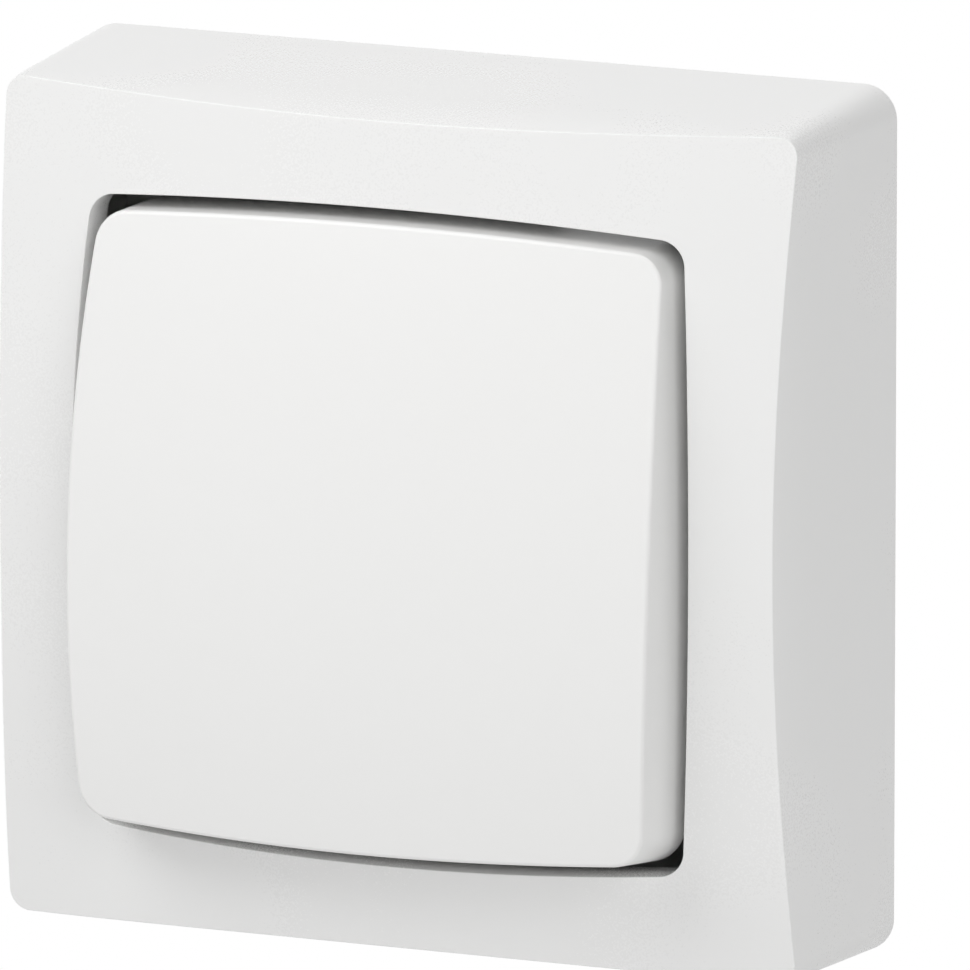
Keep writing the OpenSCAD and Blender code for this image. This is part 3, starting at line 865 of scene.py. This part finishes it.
FINISHES = {
    Slot.COVER: Finish("cover_white", (0.905, 0.905, 0.898), (0.89, 0.89, 0.883), 0.28),
    Slot.KEY: Finish("key_white", (0.905, 0.904, 0.895), (0.892, 0.89, 0.88), 0.32),
    Slot.BASE: Finish("base_white", (0.88, 0.88, 0.87), (0.85, 0.85, 0.84), 0.5),
    Slot.HOUSING: Finish("housing_grey", (0.56, 0.58, 0.57), (0.52, 0.54, 0.53), 0.5),
    Slot.INNER: Finish("inner_white", (0.88, 0.88, 0.87), (0.85, 0.85, 0.84), 0.46),
    Slot.SPRING: Finish("spring_steel", (0.6, 0.61, 0.62), (0.42, 0.43, 0.44), 0.25, metal=True),
    Slot.SCREW: Finish("zinc_steel", (0.62, 0.64, 0.66), (0.44, 0.45, 0.46), 0.3, metal=True),
    Slot.COPPER: Finish("copper", (0.78, 0.42, 0.28), (0.5, 0.24, 0.15), 0.3, metal=True),
    Slot.BRASS: Finish("brass", (0.79, 0.62, 0.33), (0.55, 0.41, 0.2), 0.28, metal=True),
    Slot.SILVER: Finish("silver_contact", (0.8, 0.8, 0.79), (0.55, 0.55, 0.54), 0.24, metal=True),
}


class Palette(dict):
    """The materials of the switch by the record's slots."""

    def __init__(self) -> None:
        """Builds the shared groups and every material."""
        groups = {"plastic": moulded_grain(), "metal": drawn_metal()}
        super().__init__({slot: finish.material(groups) for slot, finish in FINISHES.items()})
        LOG.info("palette: %d materials", len(self))

    def dress(self, nodes: dict[str, bpy.types.Object], record: dict) -> None:
        """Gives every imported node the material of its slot.

        Args:
            nodes: The frame's nodes by name.
            record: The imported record.
        """
        for part in record["subparts"]:
            mesh = nodes[part["node"]].data
            mesh.materials.clear()
            mesh.materials.append(self[Slot(part["material_slot"])])
        LOG.info("palette: %d packed nodes dressed", len(nodes))


KEY_OUTLINE = Outline(28.7 * MM, 1.15 * MM, 3.2 * MM)
KEY_PIVOT = 22 * MM
KEY_TILT = math.radians(4.7)


def key_place(x: float = 0.0, height: float = 0.0, turn: float = 0.0) -> Matrix:
    """Stands a prism or the spring behind the key's face, tilted with the key."""
    return tilted(KEY_TILT, KEY_PIVOT) @ standing(x, height, turn)


@dataclass
class CoverFrame:
    """The square domed cover with its bowed opening."""

    width: float = 80 * MM
    corner_radius: float = 3.2 * MM
    wall: float = 2 * MM
    draft: float = math.radians(3)
    roll_start: float = 17.4 * MM
    roll_radius: float = 28 * MM
    dome_top: float = 27.4 * MM
    dome_across: float = 214 * MM
    dome_along: float = 208 * MM
    lip_end: float = 19.5 * MM
    lip_wall: float = 1.4 * MM
    gap: float = 1.55 * MM
    opening_corner: float = 2.6 * MM
    edge_round: float = 0.4 * MM
    key: Outline = KEY_OUTLINE
    latch_offset: float = 19 * MM
    latch_width: float = 8 * MM
    latch_top: float = 7.2 * MM
    latch_height: float = 2.4 * MM
    latch_tip: float = 36.13 * MM
    latch_round: float = 0.15 * MM
    crease_low: float = 19 * MM

    def rings(self) -> list[Ring]:
        """Lists the rings from the outer foot over the front and back along the inside.

        Returns:
            The rings in order; the last joins the first.
        """
        middle = self.crease_low
        rings = [Ring(bevel=0.4)]
        rings += [Ring(out=out * MM) for out in (0.5, 3, 6, 9, 12, 14.5, 16.5, 17.4, 18.2)]
        rings += [Ring(out=middle, follow=part) for part in (0.0, 0.2, 0.4, 0.6, 0.8, 0.93)]
        rings.append(Ring(out=middle, follow=1.0, bevel=0.9))
        rings += [Ring(share=k / 20, follow=1.0) for k in (1, 2, 4, 6, 8, 10, 12, 14, 16, 18, 19)]
        rings.append(Ring(share=1.0, follow=1.0, bevel=1.0))
        lip = {"share": 1.0, "out": self.lip_end}
        rings += [Ring(follow=part, **lip) for part in (0.85, 0.4)]
        rings.append(Ring(bevel=0.3, **lip))
        rings.append(Ring(grow=self.lip_wall, bevel=0.3, **lip))
        inside = {"inset": self.wall, "drop": self.wall, "grow": self.lip_wall, "follow": 1.0}
        rings += [Ring(share=part, out=self.lip_end, **inside) for part in (1.0, 0.75, 0.5, 0.25)]
        rings.append(Ring(out=middle, **inside))
        rings += [Ring(out=out * MM, inset=self.wall) for out in (19, 17.4, 12, 6)]
        rings.append(Ring(inset=self.wall, bevel=0.4))
        return rings

    def latches(self, repeat: Repeat) -> None:
        """Builds the four latches inside the left and right walls.

        Args:
            repeat: The tree that repeats a prism.
        """
        top, low = self.latch_top, self.latch_top - self.latch_height
        root = self.width / 2 - self.wall / 2
        wall = self.width / 2 - self.wall - top * math.tan(self.draft)
        tip, middle = self.latch_tip, (top + low) / 2
        section = [(root, low), (wall, low), (tip, middle), (tip, top), (root, top)]
        places = [
            standing(0.0, up * self.latch_offset, side * math.pi / 2)
            for up in (-1, 1)
            for side in (-1, 1)
        ]
        latch = prism("latch", section, self.latch_width)
        repeat.build("cover_latches", latch, places, COVER, self.latch_round)

    def build(self, loft: RingLoft) -> None:
        """Builds the cover.

        Args:
            loft: The tree that lofts a shell.
        """
        shell = Shell(
            self.rings(),
            Outline(self.width / 2, 0.0, self.corner_radius).rounded(),
            self.key.grown(self.gap, self.opening_corner),
            Face(self.dome_top, self.dome_across, self.dome_along),
            Side(0.0, self.draft, self.roll_start, self.roll_radius),
        )
        loft.build("cover_shell", shell, COVER, self.edge_round)


@dataclass
class RockerKey:
    """The large rocker key, tilted at rest with its top pressed in."""

    outline: Outline = KEY_OUTLINE
    wall: float = 1.8 * MM
    pivot: float = KEY_PIVOT
    rise: float = 5.15 * MM
    skirt: float = 8.5 * MM
    draft_reach: float = 0.5 * MM
    face_across: float = 180 * MM
    face_along: float = 120 * MM
    tilt: float = KEY_TILT
    edge_round: float = 0.35 * MM
    carrier_front: float = 27.9 * MM
    rib_wall: float = 1.2 * MM
    rib_reach: float = 23.5 * MM
    rib_height: float = 6 * MM
    rib_offset: float = 11.6 * MM
    hook_width: float = 10 * MM
    hook_foot: float = 10.2 * MM
    hook_wall: float = 1.6 * MM
    hook_catch: float = 0.8 * MM
    hook_end: float = 25.7 * MM
    hook_slope: float = 2 * MM
    hook_lead: float = 0.4 * MM
    hook_edge: float = 0.5 * MM
    hook_round: float = 0.12 * MM

    @property
    def edge_out(self) -> float:
        """Distance from the wall to the face's corners, with the key level."""
        return self.pivot + self.rise

    @property
    def face_top(self) -> float:
        """Distance from the wall to the middle of the face, with the key level."""
        reach = self.outline.reach
        return self.edge_out + self._sag(reach, reach)

    def rings(self) -> list[Ring]:
        """Lists the rings from the middle of the face out, down the skirt and back inside.

        Returns:
            The rings in order; the first and the last are single points.
        """
        end = self.edge_out - self.skirt
        face = (1.0, 0.97, 0.93, 0.86, 0.78, 0.7, 0.6, 0.5, 0.4, 0.3, 0.2, 0.12, 0.06, 0.03)
        rings = [Ring(share=part, follow=1.0) for part in face]
        rings.append(Ring(out=end, follow=1.0, bevel=1.0))
        rings += [Ring(out=end, follow=part) for part in (0.92, 0.75, 0.5, 0.25)]
        rings.append(Ring(out=end, bevel=0.35))
        rings.append(Ring(out=end, inset=self.wall, bevel=0.35))
        inside = {"out": end, "inset": self.wall, "drop": self.wall}
        rings += [Ring(follow=part, **inside) for part in (0.5, 0.9)]
        rings.append(Ring(follow=1.0, bevel=0.3, **inside))
        rings += [Ring(share=part, follow=1.0, **inside) for part in (0.25, 0.5, 0.75, 1.0)]
        return rings

    def build(self, loft: RingLoft) -> None:
        """Builds the key.

        Args:
            loft: The tree that lofts a shell.
        """
        shell = Shell(
            self.rings(),
            self.outline.rounded(),
            RoundedOutline(),
            Face(self.face_top, self.face_across, self.face_along),
            Side(self.edge_out, math.atan(self.draft_reach / self.skirt)),
            self.tilt,
            self.pivot,
            closed=False,
        )
        loft.build("key_shell", shell, KEY, self.edge_round)

    def _sag(self, x: float, height: float) -> float:
        """Gives how far the face falls back at a point, from its middle."""
        curves = ((self.face_across, x), (self.face_along, height))
        return sum(radius - math.sqrt(radius**2 - at**2) for radius, at in curves)

    def _inside(self, x: float, height: float) -> float:
        """Gives the distance from the wall to the middle of the face's wall, key level."""
        return self.face_top - self._sag(x, height) - self.wall / 2

    def ribs(self, repeat: Repeat) -> None:
        """Builds the ribs across the back of the face, two each way.

        Args:
            repeat: The tree that repeats a prism.
        """
        steps = 24
        line = [self.rib_reach * (2 * k / steps - 1) for k in range(steps + 1)]
        foot = [(-self.rib_reach, self.carrier_front), (self.rib_reach, self.carrier_front)]
        level = foot + [(-x, self._inside(x, self.rib_height)) for x in line]
        upright = foot + [(-y, self._inside(self.rib_offset, y)) for y in line]
        up, right = self.rib_height, self.rib_offset
        for name, section, spots in (
            ("key_level_ribs", level, [(0.0, up, math.pi / 2), (0.0, -up, math.pi / 2)]),
            ("key_upright_ribs", upright, [(right, 0.0, 0.0), (-right, 0.0, 0.0)]),
        ):
            rib = prism("rib", section, self.rib_wall)
            repeat.build(name, rib, [key_place(*spot) for spot in spots], KEY)

    def hooks(self, repeat: Repeat) -> None:
        """Builds the two hooks that clip round the carrier's edges.

        Args:
            repeat: The tree that repeats a prism.
        """
        foot, end = self.hook_foot, self.hook_end
        back, catch, tip = foot + self.hook_wall, foot - self.hook_catch, end - self.hook_slope
        top = self._inside(0.0, back)
        section = [
            (foot, top), (foot, end), (catch, end), (catch, end - self.hook_edge),
            (foot + self.hook_lead, tip), (back, tip), (back, top),
        ]
        places = [key_place(turn=turn) for turn in (0.0, math.pi)]
        hook = prism("hook", section, self.hook_width)
        repeat.build("key_hooks", hook, places, KEY, self.hook_round)


@dataclass
class PlungerSpring:
    """The compression spring that presses the plunger on to the bridge, wound by a node tree."""

    turns: float = 8.0
    wire: float = 0.5 * MM
    radius: float = 2 * MM
    low: float = 17.05 * MM
    high: float = 25.85 * MM
    travel: float = 0.8 * MM
    steps: int = 40
    wire_sides: int = 12
    SIZES: ClassVar[tuple[str, ...]] = ("Turns", "Wire", "Radius", "Length")

    def tree(self) -> bpy.types.NodeTree:
        """Makes the tree that winds a coil with a closed turn at each end.

        Returns:
            The tree, with its sizes as named inputs.
        """
        tree, entry = shape_tree("wound_spring", Float=self.SIZES)
        new, link = tree.nodes.new, tree.links.new
        turns, wire, radius, length = (Term(tree, entry.outputs[title]) for title in self.SIZES)
        coil = new("GeometryNodeCurveSpiral")
        for title, value in (
            ("Resolution", self.steps), ("Rotations", turns), ("Start Radius", radius),
            ("End Radius", radius), ("Height", length),
        ):
            feed(coil.inputs[title], value)
        # Height of the wire's centre after each turn: closed ends, even pitch between them
        along = new("GeometryNodeSplineParameter")
        wound = Term(tree, along.outputs["Factor"]) * turns
        first = wound.call("MINIMUM", 1.0) * wire
        last = (wound - turns + 1.0).call("MAXIMUM", 0.0) * wire
        open_part = (wound - 1.0).call("MAXIMUM", 0.0).call("MINIMUM", turns - 2.0)
        height = first + last + open_part * ((length - wire * 3.0) / (turns - 2.0))
        place, split = new("GeometryNodeInputPosition"), new("ShaderNodeSeparateXYZ")
        rebuilt, move = new("ShaderNodeCombineXYZ"), new("GeometryNodeSetPosition")
        profile, sweep = new("GeometryNodeCurvePrimitiveCircle"), new("GeometryNodeCurveToMesh")
        smooth = new("GeometryNodeSetShadeSmooth")
        link(place.outputs[0], split.inputs[0])
        for axis in ("X", "Y"):
            link(split.outputs[axis], rebuilt.inputs[axis])
        feed(rebuilt.inputs["Z"], height + wire * 0.5)
        link(coil.outputs[0], move.inputs["Geometry"])
        link(rebuilt.outputs[0], move.inputs["Position"])
        feed(profile.inputs["Resolution"], self.wire_sides)
        feed(profile.inputs["Radius"], wire * 0.5)
        feed(sweep.inputs["Fill Caps"], True)
        link(move.outputs[0], sweep.inputs["Curve"])
        link(profile.outputs[0], sweep.inputs["Profile Curve"])
        link(sweep.outputs[0], smooth.inputs[0])
        end_tree(tree, entry, smooth.outputs[0])
        return tree

    def build(self, palette: Palette) -> None:
        """Winds the spring and hands it to the frame.

        Args:
            palette: The materials.
        """
        length = self.high - self.low
        sizes = (self.turns, self.wire, self.radius, length)
        inputs = {**dict(zip(self.SIZES, sizes)), "Material": palette[SPRING.slot]}
        mesh = run_tree(self.tree(), bpy.data.meshes.new("spring_coil"), inputs)
        place = key_place() @ Matrix.Translation((0.0, 0.0, self.low))
        mesh.transform(place)
        outward(mesh)
        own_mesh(piece(mesh, SPRING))


def towards(azimuth: float, elevation: float) -> Vector:
    """Gives the direction from the switch to a light or the camera, angles in degrees."""
    a, e = math.radians(azimuth), math.radians(elevation)
    return Vector((math.sin(a) * math.cos(e), -math.cos(a) * math.cos(e), math.sin(e)))


@dataclass(frozen=True)
class SoftBox:
    """A square studio light that faces the switch."""

    name: str
    azimuth: float
    elevation: float
    distance: float
    size: float
    power: float

    def build(self, aim: Vector) -> None:
        """Places the light.

        Args:
            aim: The point that it faces.
        """
        away = towards(self.azimuth, self.elevation)
        lamp = bpy.data.lights.new(self.name, "AREA")
        lamp.shape = "SQUARE"
        lamp.size = self.size
        lamp.energy = self.power
        made = placed(self.name, lamp)
        made.location = aim + away * self.distance
        made.rotation_euler = (-away).to_track_quat("-Z", "Y").to_euler()


@dataclass(frozen=True)
class View:
    """The photograph's view: a camera far away with a very long lens."""

    azimuth: float = 23.35
    elevation: float = 11.95
    distance: float = 2.0
    right: float = 4.385 * MM
    up: float = 2.27 * MM
    lens: float = 820.0
    sensor: float = 36.0

    def build(self, aim: Vector) -> None:
        """Builds the camera.

        Args:
            aim: The point that it looks at, before it is moved right and up.
        """
        back, right = towards(self.azimuth, self.elevation), towards(self.azimuth + 90.0, 0.0)
        lens = bpy.data.cameras.new("camera")
        lens.sensor_width, lens.lens = self.sensor, self.lens
        lens.clip_start, lens.clip_end = 0.1, 100.0
        made = placed("camera", lens)
        made.location = aim + back * self.distance + right * self.right
        made.location += back.cross(right) * self.up
        made.rotation_mode = "QUATERNION"
        made.rotation_quaternion = (-back).to_track_quat("-Z", "Y")
        bpy.context.scene.camera = made


@dataclass
class Studio:
    """Floor, light and camera around the switch."""

    floor_depth: float = 0.16
    floor_half: float = 6.0
    near_floor: float = 0.25
    far_floor: float = 0.5
    paper: float = 0.9
    ambient: float = 0.2
    aim: Vector = field(default_factory=lambda: Vector((0.0, -0.012, 0.0)))
    boxes: tuple[SoftBox, ...] = (
        SoftBox("left_box", -45.0, 50.0, 1.2, 0.9, 8.9),
        SoftBox("right_box", 45.0, 20.0, 1.2, 0.9, 5.45),
        SoftBox("back_box", 180.0, 60.0, 1.2, 0.9, 2.0),
    )
    view: View = View()

    @staticmethod
    def seen_directly(tree: bpy.types.NodeTree) -> Term:
        """Gives 1 for rays that show the background: seen, mirrored or through glass.

        Args:
            tree: The node tree to add to.

        Returns:
            The mask.
        """
        path = tree.nodes.new("ShaderNodeLightPath")
        mask = Term(tree, path.outputs["Is Camera Ray"])
        for title in ("Is Glossy Ray", "Is Transmission Ray"):
            mask = mask.call("MAXIMUM", Term(tree, path.outputs[title]))
        return mask

    def light(self) -> None:
        """Builds the world and the soft boxes."""
        world = bpy.data.worlds.new("studio")
        bpy.context.scene.world = world
        world.use_nodes = True
        tree = world.node_tree
        shader = tree.nodes["Background"]
        feed(shader.inputs["Color"], WHITE)
        strength = self.ambient + self.seen_directly(tree) * (1.0 - self.ambient)
        feed(shader.inputs["Strength"], strength)
        for box in self.boxes:
            box.build(self.aim)
        LOG.info("studio: world and %d soft boxes", len(self.boxes))

    def floor(self) -> None:
        """Builds the pale floor, which turns to the white background away from the switch."""
        h, z = self.floor_half, -self.floor_depth
        mesh = bpy.data.meshes.new("floor")
        mesh.from_pydata([(-h, -h, z), (h, -h, z), (h, h, z), (-h, h, z)], [], [(0, 1, 2, 3)])
        paper = bpy.data.materials.new("pale_floor")
        paper.use_nodes = True
        tree = paper.node_tree
        shader = tree.nodes["Principled BSDF"]
        feed(shader.inputs["Base Color"], (self.paper, self.paper, self.paper, 1.0))
        feed(shader.inputs["Roughness"], 0.9)
        white, blend = tree.nodes.new("ShaderNodeEmission"), tree.nodes.new("ShaderNodeMixShader")
        feed(white.inputs["Color"], WHITE)
        place, length = tree.nodes.new("ShaderNodeTexCoord"), tree.nodes.new("ShaderNodeVectorMath")
        length.operation = "LENGTH"
        tree.links.new(place.outputs["Object"], length.inputs[0])
        away = Term(tree, length.outputs["Value"]) - self.near_floor
        away = away / (self.far_floor - self.near_floor)
        away = away.call("MAXIMUM", 0.0).call("MINIMUM", 1.0)
        feed(blend.inputs[0], away * self.seen_directly(tree))
        tree.links.new(shader.outputs[0], blend.inputs[1])
        tree.links.new(white.outputs[0], blend.inputs[2])
        tree.links.new(blend.outputs[0], tree.nodes["Material Output"].inputs["Surface"])
        mesh.materials.append(paper)
        placed("floor", mesh)

    def build(self) -> None:
        """Builds the whole studio."""
        self.floor()
        self.light()
        self.view.build(self.aim)
        bpy.context.scene.view_settings.view_transform = "Standard"
        LOG.info("studio: floor and camera")


def main() -> None:
    """Builds the switch's looks and the studio."""
    logging.basicConfig(level=logging.INFO, format="%(message)s")
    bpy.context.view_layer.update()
    palette = Palette()
    palette.dress(frame["nodes"], frame["record"])
    loft, repeat = RingLoft(palette), Repeat(palette)
    cover, key = CoverFrame(), RockerKey()
    cover.build(loft)
    cover.latches(repeat)
    key.build(loft)
    key.ribs(repeat)
    key.hooks(repeat)
    PlungerSpring().build(palette)
    Studio().build()


if __name__ == "__main__":
    main()
